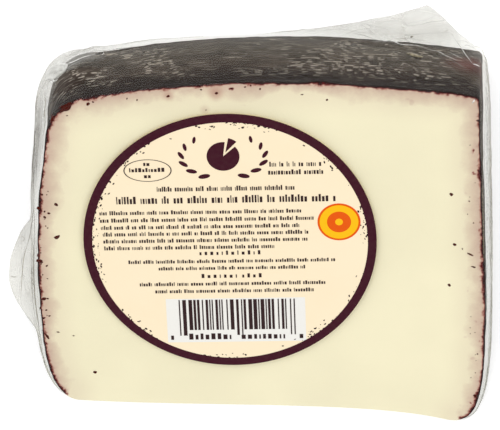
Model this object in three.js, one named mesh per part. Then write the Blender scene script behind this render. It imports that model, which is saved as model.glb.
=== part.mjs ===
// A wedge of goat cheese with a wine-dark rind, wrapped in clear film and lying on one of its cut faces,
// with a round paper label on the other. Millimetres, +Z up, the rim of the wheel towards +Y.
//
// The wheel's axis is the wedge's tip line, along X. A place on the wedge is given by x along the tip, by
// its reach out from the tip, and by the turn about the tip from the cut face that rests on the table.

import * as THREE from "three";
import { mergeVertices } from "three/addons/utils/BufferGeometryUtils.js";

// The wedge
const wheelHeight = 96;
const wheelRadius = 81.5;
const wedgeAngle = THREE.MathUtils.degToRad(31);
const tipSlant = 0.06; // the tip runs this far out of square with the wheel, as a slope
const rightLean = 3.6; // how much longer the lower cut face is than the upper one, on the right of the rim
const cutEdgeRounding = 0.9; // the film presses the edges of the cut faces round
const tipRounding = 0.4; // the same at the thin tip, as a share of its thickness

// The rind's ribs, left by the mould
const ribCount = 36;
const ribHeight = 0.16;
const ribFade = 0.05; // they die out this far from a cut face, as a share of the turn
const rimFacing = [0.75, 0.95]; // from side to rim, as how squarely the outline faces away from the tip
const looseFrom = 0.8; // where the film is this far off the rind, it shows no ribs

// The mesh
const stretchSteps = 8; // points on each stretch of the outline
const turnSteps = 2 * ribCount; // steps from one cut face to the other

// The label
const labelDiameter = 61.5;
const labelThickness = 0.3;
const labelGap = 0.3;
const labelX = -6.9;
const labelReach = 43.5;
const labelSegments = 96;

const side = wheelHeight / 2;

// Loose folds of the film. Each stands out of the outline in the direction that it faces, highest at its
// root. It runs out over its two lengths, the first on the left or towards the tip, each straight at a taper
// of 1, full below 1 and hollow above. Level is where it lies between the two cut faces, from 0 to 1, and
// spread is how far it reaches to both sides of that.
const filmFolds = [
  { name: "left belly", facing: [-1, 0], root: [-side, 22], lengths: [20, 50], tapers: [0.4, 0.8],
    height: 1.2, level: 0.5, spread: 0.5 },
  { name: "left hem", facing: [-1, 0], root: [-side, 66], lengths: [64, 12], tapers: [2, 0.7],
    height: 2.35, level: 0.48, spread: 0.45 },
  { name: "left flap", facing: [-1, 0], root: [-side, 27], lengths: [11.5, 13], tapers: [0.4, 0.5],
    height: 5.3, level: 0.42, spread: 0.2 },
  { name: "corner crumple", facing: [-0.6, 0.8], root: [-39.8, 72.3], lengths: [11, 10], tapers: [0.8, 0.8],
    height: 2.6, level: 0.32, spread: 0.34 },
  { name: "rim belly", facing: [0, 1], root: [-31, wheelRadius], lengths: [6, 28], tapers: [0.5, 1.2],
    height: 0.8, level: 0.12, spread: 0.2 },
  { name: "rim tent", facing: [0, 1], root: [33.2, wheelRadius], lengths: [58, 9.6], tapers: [3.5, 1.3],
    height: 8.1, level: 0.12, spread: 0.14 },
  { name: "tent's foot", facing: [0, 1], root: [43.6, wheelRadius], lengths: [4, 3.2], tapers: [0.8, 0.5],
    height: 0.8, level: 0.12, spread: 0.14 },
  { name: "right belly", facing: [1, 0], root: [side, 42], lengths: [42, 42], tapers: [0.2, 0.3],
    height: 1, level: 0.5, spread: 0.5 },
  { name: "right hem", facing: [1, 0], root: [side, 72], lengths: [40, 12], tapers: [1, 0.6],
    height: 0.8, level: 0.5, spread: 0.45 },
];
const foldFacing = [0.3, 0.8]; // a fold starts and is full where the outline faces its way this squarely
const foldFall = 1.5; // how steeply a fold falls off towards both cut faces, as a power

// The outline of the cut face, in x and reach: the tip, the right side, the rim and the left side, with a
// corner after each. The film has squeezed the thin corners at the tip round.
function cutFaceOutline() {
  const rim = wheelRadius;
  const outline = new THREE.Shape();
  outline.moveTo(8.3 - side, 0.6);
  outline.bezierCurveTo(-12, 0.7, 22, 4.6, side - 8.6, 1.3);
  outline.bezierCurveTo(side - 2.6, -0.1, side - 0.6, 5.2, side - 0.3, 14.3);
  outline.bezierCurveTo(side + 0.3, 32, side - 2.2, 47, side - 3.4, rim - 1.9);
  outline.quadraticCurveTo(side - 3.4, rim + 0.1, side - 4.9, rim + 0.2);
  outline.bezierCurveTo(19, rim + 2.5, -10.1, rim + 1.4, 13.7 - side, rim - 5);
  outline.bezierCurveTo(7.3 - side, rim - 6.2, 3.3 - side, rim - 9.6, 2.7 - side, rim - 17.5);
  outline.quadraticCurveTo(-1.6 - side, 36.9, 1.1 - side, 11.6);
  outline.bezierCurveTo(1.9 - side, 7.6, 3.4 - side, 0.6, 8.3 - side, 0.6);
  const points = outline.getPoints(stretchSteps);
  points.pop(); // the last point repeats the first
  return points;
}

// The direction out of the outline at each of its points.
function outwardDirections(points) {
  return points.map((_, i) => {
    const before = points[(i + points.length - 1) % points.length];
    const after = points[(i + 1) % points.length];
    const along = after.clone().sub(before).normalize();
    return new THREE.Vector2(along.y, -along.x);
  });
}

// How far in the outline is rounded, at a distance from the nearer cut face.
function roundingAt(reach, turn) {
  const thickness = reach * wedgeAngle;
  const radius = Math.min(cutEdgeRounding, tipRounding * thickness);
  const fromCut = Math.min(turn, 1 - turn) * thickness;
  if (fromCut >= radius) return 0;
  const rest = 1 - fromCut / radius;
  return radius * (1 - Math.sqrt(1 - rest * rest));
}

// The height of the rind's ribs, which run along the tip line on the rim alone.
function ribAt(outward, turn) {
  const onRim = THREE.MathUtils.smoothstep(outward.y, ...rimFacing);
  const inFromCut = THREE.MathUtils.smoothstep(Math.min(turn, 1 - turn), 0, ribFade);
  return ribHeight * onRim * inFromCut * Math.cos(2 * Math.PI * ribCount * turn);
}

// How far a fold of the film stands out at a point of the outline.
function foldAt(fold, point, outward, turn) {
  const facing = new THREE.Vector2(...fold.facing);
  const onSide = THREE.MathUtils.smoothstep(outward.dot(facing), ...foldFacing);
  const fromRoot = point.clone().sub(new THREE.Vector2(...fold.root));
  const along = fromRoot.x * Math.abs(facing.y) + fromRoot.y * Math.abs(facing.x);
  const end = along < 0 ? 0 : 1;
  const run = 1 - Math.abs(along) / fold.lengths[end];
  const across = (turn - fold.level) / fold.spread;
  if (run <= 0 || Math.abs(across) >= 1) return 0;
  return fold.height * onSide * run ** fold.tapers[end] * (1 - across * across) ** foldFall;
}

// Where the film lies at a point of the outline: pressed on the cheese, or out along its loose folds.
function filmAt(point, outward, turn) {
  const place = point.clone().addScaledVector(outward, -roundingAt(point.y, turn));
  const lean = rightLean * (1 - turn) * (point.y / wheelRadius);
  place.x += lean * THREE.MathUtils.smoothstep(point.x, 0, side);
  let lift = 0;
  for (const fold of filmFolds) {
    const height = foldAt(fold, point, outward, turn);
    place.addScaledVector(new THREE.Vector2(...fold.facing), height);
    lift += height;
  }
  const pressedOn = 1 - THREE.MathUtils.smoothstep(lift, 0, looseFrom);
  return place.addScaledVector(outward, pressedOn * ribAt(outward, turn));
}

// The wedge in its film: a closed cylinder, whose turn about its axis becomes the way round the outline and
// whose height becomes the turn from one cut face to the other.
function wrappedWedge() {
  const outline = cutFaceOutline();
  const outwards = outwardDirections(outline);
  const middle = new THREE.Vector2(0, wheelRadius / 2);
  const geometry = new THREE.CylinderGeometry(1, 1, 1, outline.length, turnSteps);
  geometry.deleteAttribute("normal");
  geometry.deleteAttribute("uv");
  const position = geometry.getAttribute("position");
  for (let i = 0; i < position.count; i++) {
    const vertex = new THREE.Vector3().fromBufferAttribute(position, i);
    const turn = vertex.y + 0.5;
    const place = middle.clone();
    const onWall = Math.hypot(vertex.x, vertex.z) > 0.5; // and not in the middle of a cut face
    if (onWall) {
      const way = Math.round((Math.atan2(vertex.x, vertex.z) / (2 * Math.PI)) * outline.length);
      const step = (way + outline.length) % outline.length;
      place.copy(filmAt(outline[step], outwards[step], turn));
    }
    const angle = turn * wedgeAngle;
    position.setXYZ(i, place.x, place.y * Math.cos(angle) - tipSlant * place.x, place.y * Math.sin(angle));
  }
  const material = new THREE.MeshStandardMaterial({ color: 0xe9dfc0, roughness: 0.35, metalness: 0 });
  const mesh = new THREE.Mesh(mergeVertices(geometry, 1e-3), material);
  mesh.name = "wrapped_wedge";
  return mesh;
}

// The round label, a little above the upper cut face and square to it.
function label() {
  const geometry = new THREE.CylinderGeometry(labelDiameter / 2, labelDiameter / 2, labelThickness,
    labelSegments);
  geometry.rotateX(Math.PI / 2);
  geometry.translate(0, 0, labelGap + labelThickness / 2);
  const material = new THREE.MeshStandardMaterial({ color: 0xfbe9cc, roughness: 0.6, metalness: 0 });
  const mesh = new THREE.Mesh(geometry, material);
  mesh.name = "label";
  const alongTip = new THREE.Vector3(1, -tipSlant, 0).normalize();
  const upSlope = new THREE.Vector3(0, Math.cos(wedgeAngle), Math.sin(wedgeAngle));
  const normal = alongTip.clone().cross(upSlope).normalize();
  const squareToTip = normal.clone().cross(alongTip);
  mesh.setRotationFromMatrix(new THREE.Matrix4().makeBasis(alongTip, squareToTip, normal));
  mesh.position.set(labelX, labelReach * Math.cos(wedgeAngle) - tipSlant * labelX,
    labelReach * Math.sin(wedgeAngle));
  return mesh;
}

// The origin goes to the middle of the underside.
const pack = new THREE.Group();
pack.add(wrappedWedge(), label());
pack.updateMatrixWorld(true);
const box = new THREE.Box3().setFromObject(pack, true);
const centre = box.getCenter(new THREE.Vector3());
pack.position.set(-centre.x, -centre.y, -box.min.z);

export default pack;
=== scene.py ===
# A wedge of goat cheese with a wine-dark ribbed rind, wrapped in clear film and lying on one cut face, with a
# round paper label on the other. Sizes are in millimetres, and mm makes them metres.

import math
import random

import bmesh
import bpy
from mathutils import Matrix, Vector, bvhtree, kdtree, noise


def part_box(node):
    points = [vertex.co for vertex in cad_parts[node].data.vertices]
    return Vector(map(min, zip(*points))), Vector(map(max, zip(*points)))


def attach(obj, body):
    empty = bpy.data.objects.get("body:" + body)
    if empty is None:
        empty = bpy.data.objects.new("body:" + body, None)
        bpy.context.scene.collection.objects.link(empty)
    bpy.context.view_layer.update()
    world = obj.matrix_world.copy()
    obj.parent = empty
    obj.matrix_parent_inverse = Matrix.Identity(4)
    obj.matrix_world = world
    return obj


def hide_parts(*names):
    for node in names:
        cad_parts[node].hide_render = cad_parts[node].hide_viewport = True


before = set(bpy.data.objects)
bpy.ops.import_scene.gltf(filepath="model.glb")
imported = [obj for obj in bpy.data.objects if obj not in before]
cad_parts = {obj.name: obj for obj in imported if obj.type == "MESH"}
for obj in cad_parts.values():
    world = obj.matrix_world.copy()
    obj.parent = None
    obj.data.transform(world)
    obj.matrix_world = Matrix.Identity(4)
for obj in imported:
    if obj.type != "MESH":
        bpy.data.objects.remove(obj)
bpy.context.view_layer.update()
mm = 0.001
print("frame loaded")


# The camera looks straight down, with the rim at the top of the picture.

viewpoint = {
    "x": -0.33,
    "y": 0.24,
    "height": 678.8,
    "lens": 225.0,
    "sensor": 36.0,
    "picture": (500, 430),     # its size in pixels, from its upper left corner
}


def seenAt(tree, across, down):
    # Where a pixel of the picture falls on a piece, and the direction out of the piece there
    eye = Vector((viewpoint["x"], viewpoint["y"], viewpoint["height"])) * mm
    width, height = viewpoint["picture"]
    slope = viewpoint["sensor"] / viewpoint["lens"] / width
    way = Vector(((across - width / 2) * slope, (height / 2 - down) * slope, -1)).normalized()
    place, normal, _, _ = tree.ray_cast(eye, way)
    return place, normal


def rayTree(piece):
    mesh = piece.data
    return bvhtree.BVHTree.FromPolygons([vertex.co for vertex in mesh.vertices],
                                        [polygon.vertices for polygon in mesh.polygons])


# The wedge's form. A place on it is given by x along the tip, by its reach out from the tip, and by the turn
# about the tip, from 0 at the cut face on the table to 1 at the upper one.

wedge = {
    "wheelHeight": 96.0,
    "wheelRadius": 81.5,
    "angle": math.radians(31),
    "tipSlant": 0.06,      # the tip runs this far out of square with the wheel, as a slope
    "rightLean": 3.6,      # how much longer the lower cut face is than the upper one, on the right of the rim
    "cutRounding": 0.7,    # radius of the film over the edges of the cut faces
    "tipRounding": 0.4,    # the same at the thin tip, as a share of its thickness
    "ribs": 36,            # on the rim, from one cut face to the other
}

labelForm = {
    "x": -6.9,
    "reach": 43.5,
    "gap": 0.3,            # from the upper cut face to the paper
    "thickness": 0.3,
}

side = wedge["wheelHeight"] / 2
rim = wedge["wheelRadius"]
rimFacing = (0.75, 0.95)   # from side to rim, as how squarely the outline faces away from the tip


def smoothStep(value, low, high):
    share = min(max((value - low) / (high - low), 0.0), 1.0)
    return share * share * (3 - 2 * share)


alongTip = Vector((1, -wedge["tipSlant"], 0)).normalized()
upSlope = Vector((0, math.cos(wedge["angle"]), math.sin(wedge["angle"])))
faceNormal = alongTip.cross(upSlope).normalized()


def overTip(x, reach, turn):
    angle = turn * wedge["angle"]
    return Vector((x, reach * math.cos(angle) - wedge["tipSlant"] * x, reach * math.sin(angle)))


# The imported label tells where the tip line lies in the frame.
lowCorner, highCorner = [Vector(corner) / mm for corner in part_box("label")]
labelMiddle = (lowCorner + highCorner) / 2 - faceNormal * (labelForm["gap"] + labelForm["thickness"] / 2)
tipOrigin = labelMiddle - overTip(labelForm["x"], labelForm["reach"], 1)


def wedgePlace(x, reach, turn):
    return (overTip(x, reach, turn) + tipOrigin) * mm


# The outline of the cut face in stretches, each a curve from the last point of the one before: the tip, the
# right side, the rim and the left side, with a corner after each.
stretches = [
    [(-12, 0.7), (22, 4.6), (side - 8.6, 1.3)],
    [(side - 2.6, -0.1), (side - 0.6, 5.2), (side - 0.3, 14.3)],
    [(side + 0.3, 32), (side - 2.2, 47), (side - 3.4, rim - 1.9)],
    [(side - 3.4, rim + 0.1), (side - 4.9, rim + 0.2)],
    [(19, rim + 2.5), (-10.1, rim + 1.4), (13.7 - side, rim - 5)],
    [(7.3 - side, rim - 6.2), (3.3 - side, rim - 9.6), (2.7 - side, rim - 17.5)],
    [(-1.6 - side, 36.9), (1.1 - side, 11.6)],
    [(1.9 - side, 7.6), (3.4 - side, 0.6), (8.3 - side, 0.6)],
]
stretchSteps = 40
crowding = 0.65            # how much closer together the points of a side are near the corners


def curvePoint(points, share):
    points = [Vector(point) for point in points]
    while len(points) > 1:
        points = [a.lerp(b, share) for a, b in zip(points, points[1:])]
    return points[0]


outline = [
    curvePoint(before[-1:] + points, step / stretchSteps)
    for before, points in zip(stretches[-1:] + stretches, stretches) for step in range(stretchSteps)
]


def outwardAt(index):
    along = (outline[(index + 1) % len(outline)] - outline[index - 1]).normalized()
    return Vector((along.y, -along.x))


def outlineSide(fromCorner, toCorner, steps):
    # The outline between the middles of two corner stretches, as points closer together near the corners
    first = round((fromCorner + 0.5) * stretchSteps)
    last = round((toCorner + 0.5) * stretchSteps)
    if last < first:
        last += len(outline)
    indices = [index % len(outline) for index in range(first, last + 1)]
    lengths = [0.0]
    for a, b in zip(indices, indices[1:]):
        lengths.append(lengths[-1] + (outline[b] - outline[a]).length)
    found = []
    place = 0
    for step in range(steps + 1):
        share = step / steps
        eased = share - crowding * math.sin(2 * math.pi * share) / (2 * math.pi)
        wanted = eased * lengths[-1]
        while place < len(lengths) - 2 and lengths[place + 1] < wanted:
            place += 1
        mix = (wanted - lengths[place]) / (lengths[place + 1] - lengths[place])
        a, b = indices[place], indices[place + 1]
        point = outline[a].lerp(outline[b], mix)
        outward = outwardAt(a).lerp(outwardAt(b), mix).normalized()
        found.append((point, outward))
    return found


def wedgeSides(across, along):
    # The four sides of a patch over the cut face: tip and rim from left to right, left and right from the tip
    return {
        "tip": outlineSide(7, 1, across),
        "right": outlineSide(1, 3, along),
        "rim": outlineSide(3, 5, across)[::-1],
        "left": outlineSide(5, 7, along)[::-1],
    }


def roundingAt(reach, turn, radius):
    thickness = reach * wedge["angle"]
    radius = min(radius, wedge["tipRounding"] * thickness)
    fromCut = min(turn, 1 - turn) * thickness
    if fromCut >= radius:
        return 0.0
    rest = 1 - fromCut / radius
    return radius * (1 - math.sqrt(1 - rest * rest))


def leanAt(point, turn):
    return wedge["rightLean"] * (1 - turn) * point.y / rim * smoothStep(point.x, 0, side)


def wedgeBlock(across, along, turns, surface):
    # A closed block of squares, bent so that its top and bottom are the cut faces. surface moves a point of
    # the outline to where the piece has it, at a turn, in x and reach.
    shape = bmesh.new()
    bmesh.ops.create_grid(shape, x_segments=across, y_segments=along, size=0.5)
    bmesh.ops.translate(shape, vec=(0.5, 0.5, 0), verts=shape.verts[:])
    raised = bmesh.ops.extrude_face_region(shape, geom=shape.faces[:], use_keep_orig=True)["geom"]
    top = [part for part in raised if isinstance(part, bmesh.types.BMVert)]
    bmesh.ops.translate(shape, vec=(0, 0, 1), verts=top)
    upright = [edge for edge in shape.edges if abs(edge.verts[0].co.z - edge.verts[1].co.z) > 0.5]
    bmesh.ops.subdivide_edges(shape, edges=upright, cuts=turns - 1)
    bmesh.ops.recalc_face_normals(shape, faces=shape.faces[:])

    sides = wedgeSides(across, along)
    moved = {}
    for step in range(turns + 1):
        for sideName, points in sides.items():
            moved[sideName, step] = [surface(point, outward, step / turns) for point, outward in points]
    places = []
    for vertex in shape.verts:
        u, v, turn = vertex.co
        i, j, step = round(u * across), round(v * along), round(turn * turns)
        tip, right, far, left = [moved[sideName, step] for sideName in ("tip", "right", "rim", "left")]
        if j == 0:
            place = tip[i]
        elif j == along:
            place = far[i]
        elif i == 0:
            place = left[j]
        elif i == across:
            place = right[j]
        else:
            u, v = i / across, j / along
            corners = (1 - v) * ((1 - u) * tip[0] + u * tip[-1]) + v * ((1 - u) * far[0] + u * far[-1])
            place = (1 - v) * tip[i] + v * far[i] + (1 - u) * left[j] + u * right[j] - corners
        places.append((place.x, place.y, turn, i in (0, across) or j in (0, along)))
    return shape, places


def finishPiece(shape, name, material, replaced=(), smooth=True):
    mesh = bpy.data.meshes.new(name)
    shape.to_mesh(mesh)
    shape.free()
    mesh.materials.append(material)
    mesh.polygons.foreach_set("use_smooth", [smooth] * len(mesh.polygons))
    piece = bpy.data.objects.new(name, mesh)
    bpy.context.scene.collection.objects.link(piece)
    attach(piece, "root")
    if replaced:
        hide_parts(*replaced)
    return piece


class Look:
    # A material while its nodes are laid out

    def __init__(self, name):
        self.material = bpy.data.materials.new(name)
        self.material.use_nodes = True
        self.tree = self.material.node_tree
        self.tree.nodes.clear()

    def add(self, kind, inputs=None, **settings):
        made = self.tree.nodes.new(kind)
        for name, value in settings.items():
            setattr(made, name, value)
        for name, value in (inputs or {}).items():
            if isinstance(value, bpy.types.NodeSocket):
                self.tree.links.new(value, made.inputs[name])
            else:
                made.inputs[name].default_value = value
        return made

    def place(self):
        return self.add("ShaderNodeTexCoord").outputs["Object"]

    def joined(self, x, y, z):
        return self.add("ShaderNodeCombineXYZ", {"X": x, "Y": y, "Z": z}).outputs[0]

    def attribute(self, name):
        return self.add("ShaderNodeAttribute", attribute_name=name).outputs["Fac"]

    def math(self, operation, *values, clamp=False):
        inputs = dict(enumerate(values))
        return self.add("ShaderNodeMath", inputs, operation=operation, use_clamp=clamp).outputs[0]

    def times(self, a, b, clamp=False):
        return self.math("MULTIPLY", a, b, clamp=clamp)

    def timesPlus(self, a, b, c, clamp=False):
        return self.math("MULTIPLY_ADD", a, b, c, clamp=clamp)

    def noise(self, vector, size, detail=2.0, roughness=0.5):
        # size is the pattern's grain in millimetres
        inputs = {"Vector": vector, "Scale": 1 / (size * mm), "Detail": detail, "Roughness": roughness}
        return self.add("ShaderNodeTexNoise", inputs).outputs["Fac"]

    def remap(self, value, low, high, toLow=0.0, toHigh=1.0, smooth=False):
        inputs = {"Value": value, "From Min": low, "From Max": high, "To Min": toLow, "To Max": toHigh}
        kind = "SMOOTHSTEP" if smooth else "LINEAR"
        return self.add("ShaderNodeMapRange", inputs, interpolation_type=kind).outputs["Result"]

    def ramp(self, value, stops):
        ramp = self.add("ShaderNodeValToRGB", {"Fac": value})
        elements = ramp.color_ramp.elements
        while len(elements) < len(stops):
            elements.new(0.5)
        for element, (position, color) in zip(elements, stops):
            element.position = position
            element.color = color
        return ramp.outputs["Color"]

    def mix(self, share, a, b, blend="MIX"):
        inputs = {"Factor": share, 6: a, 7: b}
        return self.add("ShaderNodeMix", inputs, data_type="RGBA", blend_type=blend).outputs[2]

    def dim(self, color, share):
        inputs = {"Red": share, "Green": share, "Blue": share}
        return self.mix(1.0, color, self.add("ShaderNodeCombineColor", inputs).outputs[0], "MULTIPLY")

    def bump(self, height, strength, distance):
        inputs = {"Height": height, "Strength": strength, "Distance": distance * mm}
        return self.add("ShaderNodeBump", inputs).outputs["Normal"]

    def shader(self, kind, **inputs):
        return self.add("ShaderNodeBsdf" + kind, inputs).outputs[0]

    def blend(self, share, a, b):
        return self.add("ShaderNodeMixShader", {0: share, 1: a, 2: b}).outputs[0]

    def finish(self, surface):
        self.add("ShaderNodeOutputMaterial", {"Surface": surface})
        return self.material

    def surface(self, color, roughness, specular, **inputs):
        more = {"Base Color": color, "Roughness": roughness, "Specular IOR Level": specular, **inputs}
        return self.finish(self.add("ShaderNodeBsdfPrincipled", more).outputs[0])


def linearColor(red, green, blue):
    # The colour that a screen shows as these three numbers from 0 to 255
    def linear(value):
        value /= 255
        return value / 12.92 if value <= 0.04045 else ((value + 0.055) / 1.055) ** 2.4
    return (linear(red), linear(green), linear(blue), 1.0)


# The cheese inside the film: paste on the cut faces and at the tip, and rind on the rim and both sides

cheeseForm = {
    "across": 84,
    "along": 66,
    "turns": 144,
    "inside": 0.25,       # from the film to the cheese
    "insideAtCut": 0.1,   # the same at the edges of the cut faces
    "cutRounding": 0.15,
    "ribHeight": 0.2,
    "ribFade": 0.05,      # they die out this far from a cut face, as a share of the turn
    "unevenness": 0.22,
    "rindEnds": (1.3, 7.7),   # where on the outline the rind starts and stops at the tip, in stretches
    "corner": (-41.4, 72.4),  # the rim's left corner, below the cut face, is fuller than the outline
    "cornerFacing": (-0.8, 0.6),
    "cornerBulge": 1.3,
    "cornerReach": 13.0,
    "soak": 2.8,          # how far the wine has soaked into the paste
    "soakMore": (52.0, 16.0, 1.1),  # on the left: the reach where it is most, how far to both sides, extra
}

# Soft round stains: the middle of each in the frame, its radius and how strong it is
rindStains = [((46.5, 29.7, 25.0), 9.0, 0.5)]
pasteStains = [
    ((-7.3, 25.1, 40.7), 2.6, 0.7), ((-17.1, 24.5, 40.0), 1.9, 0.6), ((-9.6, 21.6, 38.6), 1.6, 0.3),
]

cheeseLook = {
    "cream": linearColor(254, 246, 214),
    "creamNearRind": linearColor(243, 231, 203),
    "mauve": linearColor(206, 176, 160),
    "pink": linearColor(186, 134, 120),
    "wine": linearColor(98, 22, 24),
    "crust": linearColor(38, 12, 11),
    "rindAtCut": linearColor(20, 9, 6),
    "rindNearCut": linearColor(32, 22, 18),
    "rindMiddle": linearColor(66, 56, 49),
    "rindFar": linearColor(78, 71, 62),
    "rindDark": linearColor(34, 27, 22),
    # the colour of the painted glints of the film on the rim's ribs
    "ribGlint": linearColor(176, 166, 153),
}


def cheeseSurface(point, outward, turn):
    inFromCut = smoothStep(min(turn, 1 - turn), 0, cheeseForm["ribFade"])
    inside = cheeseForm["insideAtCut"] + (cheeseForm["inside"] - cheeseForm["insideAtCut"]) * inFromCut
    place = point - outward * (inside + roundingAt(point.y, turn, cheeseForm["cutRounding"]))
    place.x += leanAt(point, turn)
    fromCorner = (point - Vector(cheeseForm["corner"])).length
    bulge = cheeseForm["cornerBulge"] * (1 - smoothStep(fromCorner, 0, cheeseForm["cornerReach"]))
    place += Vector(cheeseForm["cornerFacing"]) * (bulge * smoothStep(1 - turn, 0, 0.35))
    onRim = smoothStep(outward.y, *rimFacing)
    onRind = 1 - smoothStep(-outward.y, *rimFacing)
    spot = Vector((point.x, point.y, turn * rim * wedge["angle"]))
    rib = math.cos(2 * math.pi * wedge["ribs"] * turn) * (0.6 + 0.5 * noise.noise(spot * 0.35))
    rough = noise.noise(spot * 0.14) * 1.4 + noise.noise(spot * 0.9) * 0.5
    height = cheeseForm["ribHeight"] * onRim * inFromCut * rib
    height += cheeseForm["unevenness"] * onRind * (rough - 0.5)
    return place + outward * height


def cheeseBody():
    shape, places = wedgeBlock(cheeseForm["across"], cheeseForm["along"], cheeseForm["turns"], cheeseSurface)
    start, end = [round(stretch * stretchSteps) for stretch in cheeseForm["rindEnds"]]
    rindLine = range(start, end + 1)
    tree = kdtree.KDTree(len(rindLine))
    for index in rindLine:
        tree.insert((*outline[index], 0), index)
    tree.balance()
    fromRind = shape.verts.layers.float.new("fromRind")
    downRind = shape.verts.layers.float.new("downRind")
    soaked = shape.verts.layers.float.new("soaked")
    mostAt, spread, extra = cheeseForm["soakMore"]
    for vertex, (x, reach, turn, onWall) in zip(shape.verts, places):
        thickness = reach * wedge["angle"]
        _, index, distance = tree.find((x, reach, 0))
        pastRind = index in (start, end) and distance > 2 * cheeseForm["inside"]
        if onWall and not pastRind:
            vertex[fromRind] = -min(turn, 1 - turn) * thickness
        else:
            vertex[fromRind] = max(distance - cheeseForm["insideAtCut"] - cheeseForm["cutRounding"], 0)
        onLeft = smoothStep(-outwardAt(index).x, 0.5, 0.95)
        more = extra * onLeft * (1 - smoothStep(abs(reach - mostAt), 0, spread))
        vertex[soaked] = cheeseForm["soak"] * smoothStep(reach, -1, 8) + more
        vertex[downRind] = turn * thickness * mm
        inset = min(cheeseForm["inside"] / thickness, 0.15)
        vertex.co = wedgePlace(x, reach, inset + turn * (1 - 2 * inset))
    return finishPiece(shape, "cheese", cheeseMaterial(), ["wrapped_wedge"])


def addStains(look, place, color, stains, stainColor):
    for middle, radius, strength in stains:
        away = look.add("ShaderNodeVectorMath", {0: place, 1: Vector(middle) * mm}, operation="DISTANCE")
        share = look.remap(away.outputs["Value"], 0.1 * radius * mm, radius * mm, strength, 0.0, smooth=True)
        color = look.mix(share, color, stainColor)
    return color


def ribGlintRows(look, apart, below, pitch, long):
    # Rows of painted glints, as dashes where the film shines on the ribs: how far apart the rows are and how
    # long a dash is, in mm
    inRows = look.math("DIVIDE", below, pitch * mm)
    row = look.math("FLOOR", inRows)
    fromMiddle = look.math("ABSOLUTE", look.math("SUBTRACT", look.math("FRACT", inRows), 0.5))
    line = look.remap(fromMiddle, 0.05, 0.16, 1.0, 0.0, smooth=True)
    alongRow = look.joined(apart["X"], look.times(row, 13.7 * mm), look.times(apart["Y"], 0.2))
    return look.times(line, look.remap(look.noise(alongRow, long), 0.5, 0.57))


def rindColor(look, place, depth):
    # Near black at the cut, greyer down the rim, with rows of painted glints along its ribs as light dashes
    uneven = look.remap(look.noise(place, 14), 0.35, 0.65, -0.12, 0.1)
    down = look.math("ADD", look.remap(depth, 0.0, -20), uneven)
    color = look.ramp(down, [
        (0.0, cheeseLook["rindAtCut"]), (0.2, cheeseLook["rindNearCut"]), (0.45, cheeseLook["rindMiddle"]),
        (1.0, cheeseLook["rindFar"])])
    color = look.mix(look.remap(depth, -0.2, -1.2, 1, 0), color, cheeseLook["rindAtCut"])
    apart = look.add("ShaderNodeSeparateXYZ", {"Vector": place}).outputs
    wander = look.remap(look.noise(place, 6, 1), 0.3, 0.7, -0.3 * mm, 0.3 * mm)
    below = look.math("ADD", look.attribute("downRind"), wander)
    along = look.joined(look.times(apart["X"], 0.14), below, look.times(apart["Y"], 0.14))
    streaks = look.remap(look.noise(along, 0.7, 3, 0.6), 0.4, 0.62)
    color = look.mix(look.times(streaks, 0.6), color, cheeseLook["rindDark"])
    ribPitch = rim * wedge["angle"] / wedge["ribs"]
    coarse = ribGlintRows(look, apart, below, ribPitch, 1.5)
    fine = ribGlintRows(look, apart, below, ribPitch / 2, 2.5)
    patches = look.remap(look.noise(place, 9), 0.3, 0.6, 0.5, 1.0)
    inFromEdge = look.remap(depth, -2, -7, 0.12, 1.0)
    # light is how much painted glint lies on the ribs, less near the cut
    light = look.timesPlus(fine, 0.3, look.times(coarse, 0.75))
    light = look.times(light, look.times(patches, inFromEdge), clamp=True)
    color = look.mix(light, color, cheeseLook["ribGlint"])
    color = addStains(look, place, color, rindStains, cheeseLook["wine"])
    return look.dim(color, look.remap(look.noise(place, 5, 3), 0.3, 0.7, 0.8, 1.2))


def pasteColor(look, place, depth):
    # The rind's edge is ragged, and the wine has soaked into the paste beside it.
    ragged = depth
    for grain, detail, low, high, least, most in (
            (2.2, 3, 0.3, 0.7, -0.29, 0.39), (0.6, 2, 0.3, 0.7, -0.14, 0.22), (2.1, 1, 0.7, 0.76, 0.0, -1.0)):
        rough = look.remap(look.noise(place, grain, detail), low, high, least, most)
        ragged = look.math("ADD", ragged, rough)
    cloudy = look.remap(look.noise(place, 7), 0.3, 0.7, 0.6, 1.4)
    width = look.times(look.attribute("soaked"), cloudy)
    inward = look.remap(look.math("DIVIDE", ragged, width), 0.1, 1.4)
    middle = look.remap(depth, 1, 9, smooth=True)
    paste = look.mix(middle, cheeseLook["creamNearRind"], cheeseLook["cream"])
    paste = look.mix(inward, cheeseLook["mauve"], paste)
    edge = look.ramp(ragged, [
        (0.0, cheeseLook["crust"]), (0.26, cheeseLook["crust"]), (0.5, cheeseLook["wine"]),
        (0.75, cheeseLook["pink"]), (1.0, cheeseLook["mauve"])])
    paste = look.mix(look.remap(ragged, 0.6, 1.2, smooth=True), edge, paste)
    paste = addStains(look, place, paste, pasteStains, cheeseLook["pink"])
    return look.dim(paste, look.remap(look.noise(place, 22), 0.35, 0.65, 0.955, 1.0))


def cheeseMaterial():
    look = Look("pasteAndRind")
    place = look.place()
    depth = look.attribute("fromRind")
    onSkin = look.remap(depth, 0.0, -0.3, smooth=True)
    color = look.mix(onSkin, pasteColor(look, place, depth), rindColor(look, place, depth))
    grain = look.bump(look.noise(place, 0.8, 3), 0.25, 0.15)
    return look.surface(color, look.remap(onSkin, 0, 1, 0.5, 0.75), 0.1, Normal=grain)


cheese = cheeseBody()
print("cheese made")


# The clear film: pressed on the cheese, with loose folds on both sides and behind the rim

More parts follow.
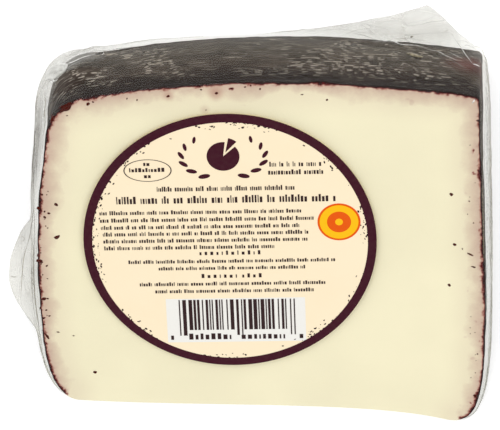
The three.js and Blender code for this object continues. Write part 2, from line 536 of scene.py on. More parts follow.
# Each fold by the way that it faces, its root in x and reach, its two lengths (on the left or towards the tip
# first), its tapers over them, how round its top is, its height, where it lies between the cut faces, and how
# far it reaches to both sides of that
filmFolds = {
    "left belly": ((-1, 0), (-side, 22), (20, 50), (0.4, 0.8), 0, 1.2, 0.5, 0.5),
    "left hem": ((-1, 0), (-side, 66), (64, 12), (2, 0.7), 0, 2.35, 0.48, 0.45),
    "left flap": ((-1, 0), (-side, 27), (11.5, 13.5), (1.2, 0.75), 1, 5.0, 0.42, 0.2),
    "corner crumple": ((-0.6, 0.8), (-39.8, 72.3), (11, 10), (0.8, 0.8), 0, 2.6, 0.32, 0.34),
    "rim belly": ((0, 1), (-31, rim), (6, 28), (0.5, 1.2), 1, 0.8, 0.12, 0.2),
    "rim tent": ((0, 1), (33.2, rim), (58, 9.6), (4.2, 1.15), 0.3, 8.1, 0.12, 0.14),
    "tent's foot": ((0, 1), (43.6, rim), (4, 3.2), (0.8, 0.5), 1, 0.8, 0.12, 0.14),
    "right belly": ((1, 0), (side, 42), (42, 42), (0.35, 0.6), 1, 1.0, 0.5, 0.5),
    "right hem": ((1, 0), (side, 72), (40, 12), (1, 0.6), 0, 0.8, 0.5, 0.45),
}

filmForm = {
    "across": 90,
    "along": 80,
    "turns": 96,
    "foldFacing": (0.3, 0.8), # a fold starts and is full where the outline faces its way this squarely
    "foldFall": 1.5,      # how steeply a fold falls off towards both cut faces, as a power
    "looseFrom": 0.8,     # lift over the rind past which the film is loose
    "crinkle": 0.21,
    "pleats": 5,          # along each side, from one cut face to the other
    "pleatHeight": 0.12,
}

filmLook = {
    "clear": linearColor(250, 250, 248),
    "haze": linearColor(243, 241, 234),
    "rimHaze": linearColor(200, 197, 190),
    "shade": linearColor(158, 154, 148),
    # The white colour is the painted glare of the white patches
    "white": linearColor(246, 246, 242),
    # The crease colour is painted shade along the film's creases
    "creaseShade": linearColor(110, 112, 108),
    "haziness": 0.16,      # how cloudy the loose film is all over
    "veil": 0.08,          # and how much more in its streaks
    "glarePatches": 0.2,     # and in its white patches of painted glare
    "shading": 0.22,       # and along the rind's sides
    # how much thin lines of painted shade along creases and of painted glints cloud the film
    "creaseShadeLines": 0.15,
    "glintLines": 0.2,
    "overCheese": 0.012,   # how cloudy it is where it is pressed on
    "sheen": 0.14,
}


def foldAt(fold, point, outward, turn):
    facing, root, lengths, tapers, roundTop, height, level, spread = fold
    onSide = smoothStep(outward.dot(Vector(facing)), *filmForm["foldFacing"])
    fromRoot = point - Vector(root)
    along = fromRoot.x * abs(facing[1]) + fromRoot.y * abs(facing[0])
    end = 0 if along < 0 else 1
    run = 1 - abs(along) / lengths[end]
    across = (turn - level) / spread
    if run <= 0 or abs(across) >= 1:
        return Vector((0, 0))
    run += roundTop * (math.sin(run * math.pi / 2) - run)
    fall = (1 - across * across) ** filmForm["foldFall"]
    return Vector(facing) * (height * onSide * run ** tapers[end] * fall)


def foldsAt(point, outward, turn):
    # How far all folds move the film at a point of the outline, and how far they lift it
    moves = [foldAt(fold, point, outward, turn) for fold in filmFolds.values()]
    return sum(moves, Vector((0, 0))), sum(move.length for move in moves)


def filmSurface(point, outward, turn):
    place = point - outward * roundingAt(point.y, turn, wedge["cutRounding"])
    place.x += leanAt(point, turn)
    move, lift = foldsAt(point, outward, turn)
    loose = smoothStep(lift, 0, filmForm["looseFrom"])
    spot = Vector((point.x, point.y, turn * rim * wedge["angle"]))
    creases = noise.noise(Vector((spot.x * 0.1, spot.y * 0.1, spot.z * 0.5)))
    ridges = 1 - 2 * abs(noise.noise(spot * 0.22 + Vector((7, 3, 1))))
    pleats = math.cos(2 * math.pi * (filmForm["pleats"] * turn + creases))
    inFromCut = smoothStep(min(turn, 1 - turn), 0, 0.12)
    crumple = filmForm["crinkle"] * ridges + filmForm["pleatHeight"] * pleats
    return place + move + outward * (loose * inFromCut * crumple)


def filmSkin():
    shape, places = wedgeBlock(filmForm["across"], filmForm["along"], filmForm["turns"], filmSurface)
    looseness = shape.verts.layers.float.new("loose")
    sideways = shape.verts.layers.float.new("sideways")
    shaded = shape.verts.layers.float.new("shaded")
    tree = kdtree.KDTree(len(outline))
    for index, point in enumerate(outline):
        tree.insert((*point, 0), index)
    tree.balance()
    for vertex, (x, reach, turn, onWall) in zip(shape.verts, places):
        vertex.co = wedgePlace(x, reach, turn)
        if onWall:
            _, index, _ = tree.find((x, reach, 0))
            _, lift = foldsAt(outline[index], outwardAt(index), turn)
            vertex[looseness] = smoothStep(lift, 0.1, 1.6)
            vertex[sideways] = smoothStep(abs(outwardAt(index).x), 0.4, 0.9)
            onLeft = smoothStep(-outwardAt(index).x, 0.6, 0.95) * smoothStep(reach, 42, 54)
            onRight = smoothStep(outwardAt(index).x, 0.6, 0.95)
            vertex[shaded] = onLeft * (1 - 0.7 * smoothStep(reach, 62, 70)) + 0.3 * onRight
    return finishPiece(shape, "film", filmMaterial(), ["wrapped_wedge"])


def creaseLines(look, vector, size, level, width):
    # Thin lines that wander through the film, where a soft pattern crosses a level
    away = look.math("ABSOLUTE", look.math("SUBTRACT", look.noise(vector, size, 1), level))
    return look.remap(away, 0.0, width, 1.0, 0.0)


def filmMaterial():
    look = Look("clearFilm")
    place = look.place()
    sideways = look.attribute("sideways")
    onSide = look.add("ShaderNodeMapping", {"Vector": place, "Scale": (1.0, 0.1, 0.5)}).outputs[0]
    onRim = look.add("ShaderNodeMapping", {"Vector": place, "Scale": (0.3, 1.0, 0.5)}).outputs[0]
    inputs = {"Factor": sideways, 4: onRim, 5: onSide}
    drawn = look.add("ShaderNodeMix", inputs, data_type="VECTOR").outputs[1]
    clouds = {
        "veil": look.remap(look.noise(drawn, 3), 0.4, 0.7),
        "glarePatches": look.remap(look.noise(place, 9, 1), 0.48, 0.66, smooth=True),
        "shading": look.attribute("shaded"),
        # Thin lines of painted shade along creases and of painted glints
        "creaseShadeLines": creaseLines(look, drawn, 7, 0.5, 0.008),
        "glintLines": creaseLines(look, drawn, 6, 0.45, 0.012),
    }
    cloudy = filmLook["haziness"]
    for name, share in clouds.items():
        cloudy = look.timesPlus(share, filmLook[name], cloudy, clamp=True)
    haze = look.timesPlus(cloudy, look.attribute("loose"), filmLook["overCheese"])
    color = look.mix(sideways, filmLook["rimHaze"], filmLook["haze"])
    color = look.mix(clouds["shading"], color, filmLook["shade"])
    # The white patches are painted glare, and the creases painted shade
    color = look.mix(look.times(clouds["glarePatches"], 0.7), color, filmLook["white"])
    color = look.mix(look.times(clouds["creaseShadeLines"], 0.5), color, filmLook["creaseShade"])
    normal = look.bump(look.noise(drawn, 4), 0.14, 0.4)
    facing = look.add("ShaderNodeLayerWeight", {"Blend": 0.5, "Normal": normal}).outputs["Facing"]
    sheen = look.timesPlus(look.math("POWER", facing, 8.0), filmLook["sheen"], 0.01)
    clear = look.shader("Transparent", Color=filmLook["clear"])
    gloss = look.shader("Glossy", Color=(1, 1, 1, 1), Roughness=0.09, Normal=normal)
    shade = look.shader("Diffuse", Color=color, Normal=normal)
    glow = look.shader("Translucent", Color=color, Normal=normal)
    return look.finish(look.blend(haze, look.blend(sheen, clear, gloss), look.blend(0.5, shade, glow)))


film = filmSkin()
print("film made")


# Sharp folds and crumpled edges of the film, most light ones painted glints and most dark ones painted shade
# along the folds: how light each is, its width in mm, and its path over the film, in pixels of the picture

creases = [
    (0.8, 0.22, [(447, 27), (454, 37), (460, 46), (466, 55), (472, 63)]),
    (0.9, 0.35, [(372, 41), (379, 41), (386, 41), (392, 40), (399, 44), (407, 45), (416, 45), (427, 48)]),
    (0.85, 0.18, [(424, 48.5), (432, 50), (440, 52), (446, 55.6), (452, 58), (458, 61)]),
    (0.85, 0.15, [(448, 51.5), (453, 54), (457, 56), (462, 58)]),
    (1.0, 0.4, [(473, 64), (476, 64.6), (480, 66.5)]),
    (0.85, 0.2, [(458, 41), (465, 40.5), (471, 45), (476, 50)]),
    (0.85, 0.2, [(464, 46), (468, 44.5), (473, 48)]),
    (0.1, 0.28, [(371, 41.5), (378, 43), (385, 42.5), (391, 44), (398, 45), (403, 46.5), (409, 47.6)]),
    (0.1, 0.34, [(409, 47.4), (415, 47.8), (422, 50), (432, 52.4), (440, 54), (447, 57.5), (452, 60.5)]),
    (0.12, 0.24, [(446, 57), (454, 61), (460, 65.3), (464.5, 68.4)]),
    (0.05, 0.75, [(389.6, 43), (392, 43.6), (394.6, 43)]),
    (0.3, 0.5, [(410.2, 37), (411.6, 36.8), (413, 36.6)]),
    (0.55, 0.14, [(395, 39), (403, 38.6), (410, 37.8)]),
    (0.6, 0.14, [(353, 33.7), (359, 34.2), (365, 35.7), (371, 38), (376, 39.5)]),
    (0.6, 0.16, [(444, 32.7), (446, 30.8), (448.5, 29.6)]),
    (0.42, 1.5, [(407, 53.2), (411, 54.2), (415, 55.4), (419, 56.4), (423, 57)]),
    (0.95, 0.3, [(66, 65), (69, 63), (74, 61.5), (82, 57.5), (89, 55.6), (95, 54)]),
    (0.06, 0.2, [(66.4, 67.2), (70, 64.8), (77, 61), (83, 58.6)]),
    (0.06, 0.85, [(96.4, 54.4), (100.6, 52.6), (104.8, 53)]),
    (0.95, 0.14, [(101.6, 55), (104, 53.4), (103, 51.6), (100, 51.8)]),
    (0.06, 0.26, [(104, 53.4), (111, 52.6), (118, 51.4), (127, 49), (145, 46.4), (159, 45.3)]),
    (0.9, 0.55, [(106, 50.3), (112, 49.4), (118, 48.6), (125, 47.7), (132, 46.8)]),
    (0.95, 0.3, [(47, 80), (50, 78), (54, 79.5), (52.5, 82), (49.6, 81.5)]),
    (0.95, 0.3, [(49, 83), (54, 81), (59, 79.4), (63, 76)]),
    (0.9, 0.24, [(46.6, 84), (49.5, 80), (50.6, 76), (54, 73.6)]),
    (0.3, 0.2, [(44.6, 92), (45.6, 101), (44.4, 110), (45, 119), (44.2, 133)]),
    (0.95, 0.3, [(43.6, 96), (44.4, 106), (42.6, 116), (43.2, 128), (41.6, 142)]),
    (0.55, 0.2, [(36, 100), (34.4, 118), (34.6, 138), (33, 160), (33.4, 182)]),
    (0.5, 0.16, [(39, 112), (37.2, 130), (37, 150), (35.6, 172)]),
    (0.9, 0.22, [(37.6, 104), (35.8, 124), (35.8, 146), (34.4, 170)]),
    (0.2, 0.24, [(34.6, 203), (33, 214), (31.3, 227), (29.6, 237), (27.5, 245)]),
    (0.42, 0.17, [(28, 243), (25, 252), (23, 262), (21.8, 279), (21, 295)]),
    (0.35, 0.16, [(10.6, 276), (13.4, 277.2), (16.6, 276.6)]),
    (0.5, 0.16, [(19, 238), (22, 236), (24.6, 238), (23.6, 241.4), (20.6, 241)]),
    (0.28, 0.3, [(34.2, 205), (34.4, 225), (34, 245), (33.6, 269), (34.6, 295), (37, 314), (39.8, 334),
                 (42, 349)]),
    (0.55, 0.18, [(32.4, 240), (31.4, 262), (31.4, 282), (33.4, 306), (36, 326)]),
    (1.0, 0.24, [(35.6, 349), (38, 355), (41, 361), (44, 366)]),
    (1.0, 0.2, [(38.6, 350), (40.6, 355), (42.4, 360)]),
    (0.6, 0.2, [(484.4, 118), (484.6, 160), (484.6, 205), (485.6, 250), (486, 300), (486.6, 340)]),
    (0.95, 0.24, [(486.6, 130), (486.8, 180), (487, 230), (487.8, 280), (488, 330)]),
    (0.35, 0.2, [(482.6, 150), (482.8, 200), (483.4, 240), (484, 262)]),
    (1.0, 0.3, [(472, 103.5), (473.6, 101.4), (475, 99)]),
]

creaseForm = {
    "sides": 6,
    "thickness": 0.45,     # as a share of its width
    "least": 0.25,         # width of its ends, as a share of its middle
    # from painted shade at 0, through greys, to painted glint at 1
    "colors": [
        (0.0, linearColor(22, 20, 20)), (0.42, linearColor(150, 140, 116)), (0.6, linearColor(176, 175, 168)),
        (1.0, linearColor(250, 250, 247))],
}


def smoothPath(points, rounds=2):
    points = [Vector(point) for point in points]
    for _ in range(rounds):
        inner = [a.lerp(b, share) for a, b in zip(points, points[1:]) for share in (0.25, 0.75)]
        points = [points[0]] + inner + [points[-1]]
    return points


def addCrease(shape, tree, width, path):
    # A thin spindle that lies along a path over the film
    seen = [seenAt(tree, *point) for point in smoothPath(path)]
    seen = [(place, normal) for place, normal in seen if place is not None]
    first, edges, before = [], [], None
    for step, (place, normal) in enumerate(seen):
        along = (seen[min(step + 1, len(seen) - 1)][0] - seen[max(step - 1, 0)][0]).normalized()
        beside = normal.cross(along).normalized()
        size = width * mm * max(math.sin(math.pi * step / (len(seen) - 1)), creaseForm["least"])
        axes = Matrix((beside, along.cross(beside), along)).transposed().to_4x4()
        scaled = Matrix.Diagonal((size, size * creaseForm["thickness"], size, 1))
        here = Matrix.Translation(place) @ axes @ scaled
        if before is None:
            made = bmesh.ops.create_circle(shape, segments=creaseForm["sides"], radius=0.5, matrix=here)
            ring = made["verts"]
            first = edges = list(dict.fromkeys(edge for vertex in ring for edge in vertex.link_edges))
        else:
            made = bmesh.ops.extrude_edge_only(shape, edges=edges)["geom"]
            ring = [part for part in made if isinstance(part, bmesh.types.BMVert)]
            edges = [part for part in made if isinstance(part, bmesh.types.BMEdge)]
            bmesh.ops.transform(shape, matrix=here @ before.inverted(), verts=ring)
        before = here
    bmesh.ops.holes_fill(shape, edges=first + edges)


def creasePiece(tree):
    shape = bmesh.new()
    lightness = shape.verts.layers.float.new("lightness")
    for light, width, path in creases:
        before = len(shape.verts)
        addCrease(shape, tree, width, path)
        for vertex in list(shape.verts)[before:]:
            vertex[lightness] = light
    bmesh.ops.recalc_face_normals(shape, faces=shape.faces[:])
    return finishPiece(shape, "film_crease_glints_and_shade", creasedFilm("creasedFilm"))


def creasedFilm(name, grain=0.7, least=0.35, most=1.0):
    # grain is the size of its pattern, and least and most are how solid it is
    look = Look(name)
    color = look.ramp(look.attribute("lightness"), creaseForm["colors"])
    broken = look.remap(look.noise(look.place(), grain), 0.35, 0.6, least, most)
    return look.surface(color, 0.3, 0.3, Alpha=broken)


def lyingAt(place, normal, turned, sizes):
    # Lays a shape on a surface. The sizes are in mm, along the tip line, across it and out of the surface.
    along = (alongTip - normal * alongTip.dot(normal)).normalized()
    axes = Matrix((along, normal.cross(along), normal)).transposed().to_4x4()
    turn = Matrix.Rotation(math.radians(turned), 4, "Z")
    return Matrix.Translation(place) @ axes @ turn @ Matrix.Diagonal([size * mm for size in sizes] + [1])


# A lump where the film is twisted together, on the rim's left corner, at a pixel of the picture
twist = {"at": (55.4, 71.4), "size": (5.2, 4.4, 1.8), "turned": 20.0, "wrinkles": 0.3}


def twistPiece(tree):
    shape = bmesh.new()
    lightness = shape.verts.layers.float.new("lightness")
    bmesh.ops.create_icosphere(shape, subdivisions=5, radius=0.5)
    for vertex in shape.verts:
        ridges = 1 - 2.5 * abs(noise.noise(vertex.co * 3.4 + Vector((2, 5, 1))))
        vertex[lightness] = 0.76 + 0.1 * ridges
        vertex.co *= 1 + twist["wrinkles"] * (0.3 * ridges + 1.4 * noise.noise(vertex.co * 1.9))
    matrix = lyingAt(*seenAt(tree, *twist["at"]), twist["turned"], twist["size"])
    bmesh.ops.transform(shape, verts=shape.verts[:], matrix=matrix)
    return finishPiece(shape, "film_twist", creasedFilm("twistedFilm", 2.0, 0.35, 0.75))


filmRays = rayTree(film)
creasePiece(filmRays)
twistPiece(filmRays)
print("creases made")


# Crumbs of rind: the middle of each in pixels of the picture, its length and width in mm, and its turn

crumbs = {
    "seed": 4,
    "thickness": 0.16,
    "lumpiness": 0.45,
    "speckLength": 1.4,    # as a share of a speck's width
    "places": [
        (66.5, 107.5, 2.2, 1.5, 35), (62.5, 110, 1.3, 0.9, 60), (69.5, 104, 1.1, 0.8, 20),
        (52.4, 118.4, 1.5, 0.8, 70), (60.5, 107, 1.2, 0.6, 10), (51.6, 115.4, 0.9, 0.6, 80),
        (50.6, 121.6, 0.7, 0.4, 60), (88, 104, 0.9, 0.65, 60), (93, 102, 0.5, 0.35, -30),
        (67, 115.6, 0.4, 0.25, 20),
        (137, 100, 0.5, 0.3, 80), (127, 98.5, 0.5, 0.25, 80), (56, 204.5, 0.85, 0.65, -30),
        (48.9, 213.4, 0.7, 0.45, -20), (44.7, 217.2, 0.75, 0.5, -50), (57, 237.2, 1.5, 0.8, 40),
        (42, 194.7, 0.5, 0.5, 0), (38.8, 208.3, 1.0, 0.8, 0), (38.2, 255.6, 1.05, 0.8, 70),
        (39.6, 261, 1.4, 0.9, -15), (37.4, 273.5, 1.2, 0.8, -60), (43.6, 299, 1.1, 0.8, 20),
        (41.4, 301.4, 0.5, 0.4, 0), (40.4, 308, 0.8, 0.4, 80), (47.4, 336.5, 1.7, 0.55, -58),
        (44.4, 360, 0.9, 0.7, -60), (43.6, 355, 0.5, 0.4, 0), (49.8, 373.6, 1.1, 0.6, -60),
        (49.4, 315.9, 0.5, 0.35, 20), (58.3, 332.1, 0.75, 0.3, -5), (73.6, 335.7, 0.5, 0.25, 0),
        (95.1, 372.2, 0.95, 0.65, 0), (451.3, 194.4, 0.85, 0.7, -50), (454.5, 244.6, 0.8, 0.65, -30),
        (462.4, 248.9, 0.5, 0.25, -50), (470.2, 254.4, 1.6, 0.42, -24), (473.6, 267, 1.1, 0.4, -10),
        (449.2, 285.1, 0.85, 0.6, -52), (469.2, 201.2, 0.4, 0.3, -40), (473.5, 223, 0.35, 0.25, 0),
        (477.5, 354, 0.4, 0.3, -40), (475, 396, 1.0, 0.7, -50),
        (168, 96.3, 0.75, 0.5, 30), (216.4, 93.2, 0.7, 0.6, 60), (201, 89.6, 0.5, 0.35, 0),
        (245, 87, 0.5, 0.35, 20), (260, 89, 0.45, 0.4, 70), (302, 94.6, 0.6, 0.25, 10),
        (327, 99.8, 0.55, 0.4, 50), (206, 110, 0.3, 0.2, 80),
    ],
    "dark": linearColor(44, 8, 6),
    "light": linearColor(92, 26, 14),
}

# Specks beside them, along the left and the right edge of the paste: how many, their size in mm, and the
# pixels between which they lie, across from the edge inwards and down
crumbSpecks = [
    {"count": 34, "size": (0.15, 0.42), "edge": 39, "inwards": 9, "down": (170, 345)},
    {"count": 12, "size": (0.1, 0.2), "edge": 476, "inwards": -9, "down": (130, 380)},
]


def addCrumb(shape, tree, across, down, length, width, turned):
    place, normal = seenAt(tree, across, down)
    if place is None:
        return
    blob = bmesh.ops.create_icosphere(shape, subdivisions=2, radius=0.5)["verts"]
    for vertex in blob:
        vertex.co *= 1 + crumbs["lumpiness"] * noise.noise(vertex.co * 3 + Vector((across, down, 0)))
    matrix = lyingAt(place, normal, turned, (length, width, crumbs["thickness"]))
    bmesh.ops.transform(shape, verts=blob, matrix=matrix)


def crumbPiece(tree):
    shape = bmesh.new()
    draw = random.Random(crumbs["seed"])
    for crumb in crumbs["places"]:
        addCrumb(shape, tree, *crumb)
    for specks in crumbSpecks:
        for _ in range(specks["count"]):
            size = draw.uniform(*specks["size"])
            across = specks["edge"] + specks["inwards"] * draw.random()
            down = draw.uniform(*specks["down"])
            length = size * crumbs["speckLength"]
            addCrumb(shape, tree, across, down, length, size, draw.uniform(0, 180))
    look = Look("rindCrumb")
    color = look.mix(look.noise(look.place(), 0.4), crumbs["dark"], crumbs["light"])
    return finishPiece(shape, "rind_crumbs", look.surface(color, 0.7, 0.05))


crumbPiece(rayTree(cheese))
print("crumbs made")


# The label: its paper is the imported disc, and its print is thin shapes on it. Places on it are in millimetres
# from its middle, along and across the lines of print.

label = {
    "printTurn": 5.0,        # degrees from the tip's direction to the lines of print
    "inkHeight": 0.04,
    "ringRadius": 30.76,
    "ringWidth": 1.8,
    "paper": linearColor(250, 231, 196),
    "paperPale": linearColor(252, 235, 203),
    "plum": linearColor(62, 18, 34),
    "ink": linearColor(50, 32, 34),
    "white": linearColor(239, 237, 231),
}

paperTop = labelMiddle + faceNormal * (labelForm["gap"] + labelForm["thickness"])


def inkMaterial(name, color):
    look = Look(name)
    wear = look.remap(look.noise(look.place(), 0.9, 3), 0.3, 0.75, 0.0, 0.01)
    return look.surface(look.mix(wear, color, label["paper"]), 0.55, 0.06)


def paperMaterial():
    look = Look("labelPaper")
    place = look.place()
    tint = look.mix(look.noise(place, 9, 4), label["paperPale"], label["paper"])
    fibre = look.bump(look.noise(place, 0.25, 3), 0.12, 0.05)
    return look.surface(tint, 0.5, 0.35, Normal=fibre)


def flatMatrix(x, y, width, height, thick, turned):
    turn = Matrix.Rotation(math.radians(turned), 4, "Z")
    return Matrix.Translation((x, y, thick / 2)) @ turn @ Matrix.Diagonal((width, height, thick, 1))


def addBlock(shape, x, y, width, height, thick):
    bmesh.ops.create_cube(shape, size=1, matrix=flatMatrix(x, y, width, height, thick, 0))


def addDisc(shape, x, y, width, height, thick, segments=48, turned=0.0):
    bmesh.ops.create_cone(shape, cap_ends=True, segments=segments, radius1=0.5, radius2=0.5, depth=1,
                          matrix=flatMatrix(x, y, width, height, thick, turned))


def addRing(shape, x, y, radius, width, thick, segments=128, stretch=1.0, low=0.0):
    corners = [(radius - width, low), (radius, low), (radius, low + thick), (radius - width, low + thick)]
    before = set(shape.verts)
    verts = [shape.verts.new((across, 0, up)) for across, up in corners]
    edges = [shape.edges.new((a, b)) for a, b in zip(verts, verts[1:] + verts[:1])]
    bmesh.ops.spin(shape, geom=verts + edges, cent=(0, 0, 0), axis=(0, 0, 1), angle=2 * math.pi,
                   steps=segments, use_merge=True)
    made = [vertex for vertex in shape.verts if vertex not in before]
    bmesh.ops.scale(shape, vec=(1, stretch, 1), verts=made)
    bmesh.ops.translate(shape, vec=(x, y, 0), verts=made)


def finishPrint(shape, name, material, lift=0.0):
    place = (paperTop + faceNormal * lift) * mm
    matrix = lyingAt(place, faceNormal, label["printTurn"], (1, 1, 1))
    bmesh.ops.transform(shape, verts=shape.verts[:], matrix=matrix)
    bmesh.ops.recalc_face_normals(shape, faces=shape.faces[:])
    return finishPiece(shape, name, material, smooth=False)


def ringPiece():
    # The ring runs over the paper's edge and down its side, where its plum is painted shade on the paper's lit
    # edge.
    shape = bmesh.new()
    thick = label["inkHeight"]
    addRing(shape, 0, 0, label["ringRadius"], label["ringWidth"], thick, segments=160)
    down = labelForm["thickness"]
    addRing(shape, 0, 0, label["ringRadius"] + thick, thick, thick + down, segments=160, low=-down)
    finishPrint(shape, "label_ring", plumInk)


# Specks of worn print along the inner edge of the ring, in clusters of at least and at most so many. They
# spread by degrees along it, and inwards by reach, mostly near the ring. Their lengths are in mm, and their
# widths are shares of these.
specks = {
    "seed": 11, "clusters": 26, "least": 4, "most": 15, "spread": 5, "reach": 1.5, "nearRing": 2.2,
    "long": (0.15, 0.7), "wide": (0.3, 0.7), "slant": 40, "thickness": 0.8,
}


def speckPiece():
    shape = bmesh.new()
    draw = random.Random(specks["seed"])
    edge = label["ringRadius"] - label["ringWidth"]
    for _ in range(specks["clusters"]):
        middle = draw.uniform(0, 360)
        for _ in range(draw.randint(specks["least"], specks["most"])):
            angle = middle + draw.gauss(0, specks["spread"])
            away = edge + 0.05 - specks["reach"] * draw.random() ** specks["nearRing"]
            long = draw.uniform(*specks["long"])
            wide = long * draw.uniform(*specks["wide"])
            turned = angle + 90 + draw.uniform(-specks["slant"], specks["slant"])
            addDisc(shape, away * math.cos(math.radians(angle)), away * math.sin(math.radians(angle)),
                    long, wide, label["inkHeight"] * specks["thickness"], segments=6, turned=turned)
    finishPrint(shape, "label_specks", blackInk)


# The small print is lines of blocks of the print's size and weight. A block's width and height are drawn from
# these shares of its line's.
printForm = {"seed": 7, "widths": (0.45, 0.8, 1.0, 1.15), "heights": (0.7, 0.7, 0.78, 1.0), "wordGap": 0.45}

# Each line by its left and right end, its middle and its height, how wide a block is and how far blocks are
# apart, both as shares of the height, and how many blocks make a word
printLines = [
    (8.9, 19.6, 18.7, 1.15, 0.32, 0.17, 4),
    (8.6, 20.0, 16.8, 1.15, 0.32, 0.17, 12),
    (-14.7, 13.9, 13.1, 1.15, 0.26, 0.14, 6),
    (-23.3, 22.8, 10.4, 1.75, 0.26, 0.14, 6),
    (-27.0, 15.4, 7.5, 0.95, 0.34, 0.18, 6),
    (-27.0, 17.7, 5.7, 0.95, 0.34, 0.18, 6),
    (-26.9, 14.7, 3.95, 0.95, 0.34, 0.18, 5),
    (-26.6, 17.0, 2.3, 0.95, 0.34, 0.18, 5),
    (-26.6, 17.0, 0.6, 0.95, 0.34, 0.18, 6),
    (-26.5, 9.3, -1.1, 0.95, 0.34, 0.18, 5),
    (-6.5, 6.7, -2.6, 1.0, 0.5, 0.7, 11),
    (-21.6, 22.1, -4.6, 0.85, 0.38, 0.2, 7),
    (-15.3, 15.8, -6.3, 0.85, 0.38, 0.2, 6),
    (-6.3, 7.0, -8.3, 1.0, 0.5, 0.7, 8),
    (-19.5, 20.4, -10.2, 0.9, 0.38, 0.19, 7),
    (-16.3, 17.2, -12.0, 0.9, 0.38, 0.19, 7),
]


def addPrintLine(shape, draw, left, right, y, height, block, gap, word):
    usual = printForm["heights"][0]
    more = max(2, word + draw.randint(-2, 2))
    x = left
    while x < right - block * height / 2:
        width = height * block * draw.choice(printForm["widths"])
        tall = height * draw.choice(printForm["heights"])
        addBlock(shape, x + width / 2, y + (tall - height * usual) / 2, width, tall, label["inkHeight"])
        x += width + height * gap
        more -= 1
        if more == 0:
            x += height * printForm["wordGap"]
            more = max(2, word + draw.randint(-3, 3))


def smallPrint():
    shape = bmesh.new()
    draw = random.Random(printForm["seed"])
    for line in printLines:
        addPrintLine(shape, draw, *line)
    finishPrint(shape, "label_small_print", blackInk)


# An oval frame with three short lines, left of the emblem. A line is given by its length and its middle.
oval = {
    "x": -16.4, "y": 17.8, "width": 10.0, "height": 5.3, "line": 0.22, "seed": 3,
    "print": [(1.6, 1.45), (7.6, 0.0), (1.6, -1.45)], "blocks": (0.95, 0.55, 0.25, 14),
}


def ovalMark():
    shape = bmesh.new()
    addRing(shape, oval["x"], oval["y"], oval["width"] / 2, oval["line"], label["inkHeight"], segments=72,
            stretch=oval["height"] / oval["width"])
    draw = random.Random(oval["seed"])
    for long, up in oval["print"]:
        addPrintLine(shape, draw, oval["x"] - long / 2, oval["x"] + long / 2, oval["y"] + up, *oval["blocks"])
    finishPrint(shape, "label_oval_mark", blackInk)


# The emblem: a wheel of cheese with a wedge drawn out, between two sprigs
emblem = {
    "x": -0.6, "y": 20.9, "wheel": 3.4, "opening": 40.0, "openingAt": 62.0, "drawnOut": 1.1,
    "slit": 4.0, "sprig": (8.732, 5.328), "leaves": 6, "leafFrom": -62.0, "leafStep": 22.0, "leafTurn": 52.0,
    "leafLength": 2.5, "leafWidth": 1.05, "shrink": 0.07,
}


def addSlice(shape, x, y, radius, start, sweep, thick):
    steps = max(4, round(sweep / 6))
    before = set(shape.verts)
    hub = shape.verts.new((0, 0, 0))
    end = shape.verts.new((radius, 0, 0))
    bmesh.ops.rotate(shape, verts=[end], cent=(0, 0, 0), matrix=Matrix.Rotation(math.radians(start), 3, "Z"))
    bmesh.ops.spin(shape, geom=[end], cent=(0, 0, 0), axis=(0, 0, 1), angle=math.radians(sweep), steps=steps)
    arc = [vertex for vertex in shape.verts if vertex not in before and vertex is not hub]
    arc.sort(key=lambda vertex: (math.degrees(math.atan2(vertex.co.y, vertex.co.x)) - start + 0.01) % 360)
    face = shape.faces.new([hub] + arc)
    raised = bmesh.ops.extrude_face_region(shape, geom=[face], use_keep_orig=True)["geom"]
    top = [part for part in raised if isinstance(part, bmesh.types.BMVert)]
    bmesh.ops.translate(shape, vec=(0, 0, thick), verts=top)
    bmesh.ops.translate(shape, vec=(x, y, 0), verts=[hub] + arc + top)


def emblemPiece():
    shape = bmesh.new()
    thick = label["inkHeight"]
    x, y, radius = emblem["x"], emblem["y"], emblem["wheel"]
    opening, slit = emblem["opening"], emblem["slit"]
    addSlice(shape, x, y, radius, emblem["openingAt"] + opening / 2, 360 - opening, thick)
    middle = math.radians(emblem["openingAt"])
    out = emblem["drawnOut"]
    addSlice(shape, x + out * math.cos(middle), y + out * math.sin(middle), radius,
             emblem["openingAt"] - opening / 2 + slit, opening - 2 * slit, thick)
    wide, tall = emblem["sprig"]
    for mirror in (1, -1):
        for step in range(emblem["leaves"]):
            around = math.radians(emblem["leafFrom"] + emblem["leafStep"] * step)
            size = 1 - emblem["shrink"] * step
            addDisc(shape, x + mirror * wide * math.cos(around), y + tall * math.sin(around),
                    emblem["leafLength"] * size, emblem["leafWidth"] * size, thick, segments=18,
                    turned=mirror * (math.degrees(around) + emblem["leafTurn"]))
    finishPrint(shape, "label_emblem", plumInk)


# The code panel: bars of random width on a white field, with guard bars at both ends and in the middle
codePanel = {
    "seed": 21, "field": (-14.2, 15.4, -24.8, -13.8), "bars": (-11.5, 13.3), "top": -14.1, "foot": -21.7,
    "guardFoot": -23.1, "module": 0.26, "widths": (1, 1, 1, 2, 2, 3), "guard": 4.5,   # both in modules
    "print": [(-13.5, -12.4), (-9.6, 0.0), (1.6, 11.2), (14.0, 15.0)], "blocks": (-23.6, 1.5, 0.5, 0.32, 20),
}


def codeField():
    shape = bmesh.new()
    left, right, low, high = codePanel["field"]
    addBlock(shape, (left + right) / 2, (low + high) / 2, right - left, high - low, label["inkHeight"] / 2)
    finishPrint(shape, "label_code_field", inkMaterial("whiteInk", label["white"]))


def codeBars():
    shape = bmesh.new()
    draw = random.Random(codePanel["seed"])
    left, right = codePanel["bars"]
    top, module = codePanel["top"], codePanel["module"]
    x = left
    while x < right - module:
        width = module * draw.choice(codePanel["widths"])
        guard = min(x - left, right - x, abs(x - (left + right) / 2)) < codePanel["guard"] * module
        foot = codePanel["guardFoot"] if guard else codePanel["foot"]
        addBlock(shape, x + width / 2, (top + foot) / 2, width, top - foot, label["inkHeight"])
        x += width + module * draw.choice(codePanel["widths"])
    for ends in codePanel["print"]:
        addPrintLine(shape, draw, *ends, *codePanel["blocks"])
    finishPrint(shape, "label_code_bars", blackInk, lift=label["inkHeight"] / 2)


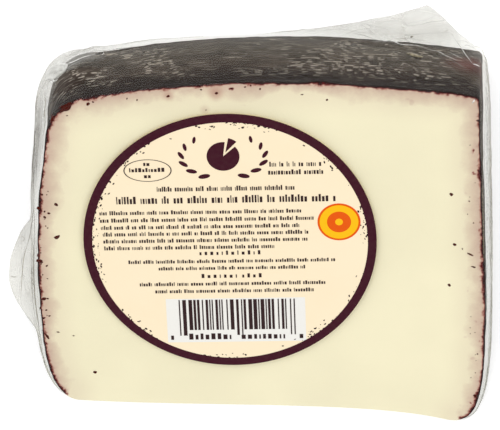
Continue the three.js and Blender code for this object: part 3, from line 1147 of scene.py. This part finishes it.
# A plain round seal in orange and yellow. Its ring and dot are shares of its radius.
seal = {
    "x": 23.0, "y": 4.7, "radius": 4.5, "ring": 0.9, "ringWidth": 0.34, "dot": 0.36,
    "orange": linearColor(230, 90, 12), "yellow": linearColor(250, 190, 20),
}


def sealPieces():
    x, y, radius = seal["x"], seal["y"], seal["radius"]
    thick = label["inkHeight"] / 2
    shape = bmesh.new()
    addDisc(shape, x, y, 2 * radius, 2 * radius, thick, segments=72)
    finishPrint(shape, "label_seal", inkMaterial("orangeInk", seal["orange"]))
    shape = bmesh.new()
    addRing(shape, x, y, radius * seal["ring"], radius * seal["ringWidth"], thick, segments=72)
    addDisc(shape, x, y, radius * seal["dot"], radius * seal["dot"], thick, segments=32)
    finishPrint(shape, "label_seal_ring", inkMaterial("yellowInk", seal["yellow"]), lift=thick)


plumInk = inkMaterial("plumInk", label["plum"])
blackInk = inkMaterial("blackInk", label["ink"])
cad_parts["label"].data.materials.clear()
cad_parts["label"].data.materials.append(paperMaterial())
ringPiece()
speckPiece()
smallPrint()
ovalMark()
emblemPiece()
codeField()
codeBars()
sealPieces()
print("label made")


# The floor, the light and the camera

studio = {
    "floorSize": 3.0,
    "floorColor": (0.96, 0.96, 0.96, 1),
    "floorGlow": 0.28,
    "sky": 0.72,
    "lamps": [
        {"name": "key", "place": (-0.55, 0.5, 1.1), "size": 0.9, "power": 6.0},
        {"name": "fill", "place": (0.75, -0.2, 0.9), "size": 0.7, "power": 2.8},
        {"name": "rimStrip", "place": (0.1, 0.9, 0.5), "size": 0.4, "power": 1.4},
    ],
}


def makeFloor():
    shape = bmesh.new()
    bmesh.ops.create_grid(shape, x_segments=2, y_segments=2, size=studio["floorSize"] / 2,
                          matrix=Matrix.Translation((0, 0, -0.0001)))
    mesh = bpy.data.meshes.new("floor")
    shape.to_mesh(mesh)
    shape.free()
    look = Look("paleFloor")
    shade = look.shader("Diffuse", Color=studio["floorColor"])
    glow = look.add("ShaderNodeEmission", {"Color": (1, 1, 1, 1), "Strength": studio["floorGlow"]}).outputs[0]
    mesh.materials.append(look.finish(look.add("ShaderNodeAddShader", {0: shade, 1: glow}).outputs[0]))
    floor = bpy.data.objects.new("floor", mesh)
    bpy.context.scene.collection.objects.link(floor)


def makeLight():
    world = bpy.data.worlds.new("studio")
    world.use_nodes = True
    world.node_tree.nodes["Background"].inputs["Color"].default_value = (1, 1, 1, 1)
    world.node_tree.nodes["Background"].inputs["Strength"].default_value = studio["sky"]
    bpy.context.scene.world = world
    for lamp in studio["lamps"]:
        light = bpy.data.lights.new(lamp["name"], "AREA")
        light.energy = lamp["power"]
        light.size = lamp["size"]
        holder = bpy.data.objects.new(lamp["name"], light)
        holder.location = lamp["place"]
        holder.rotation_euler = (-Vector(lamp["place"])).to_track_quat("-Z", "Y").to_euler()
        bpy.context.scene.collection.objects.link(holder)


def makeCamera():
    lens = bpy.data.cameras.new("camera")
    lens.lens = viewpoint["lens"]
    lens.sensor_width = viewpoint["sensor"]
    camera = bpy.data.objects.new("camera", lens)
    camera.location = Vector((viewpoint["x"], viewpoint["y"], viewpoint["height"])) * mm
    bpy.context.scene.collection.objects.link(camera)
    bpy.context.scene.camera = camera


makeFloor()
makeLight()
makeCamera()
bpy.context.scene.view_settings.view_transform = "Standard"
print("studio made")
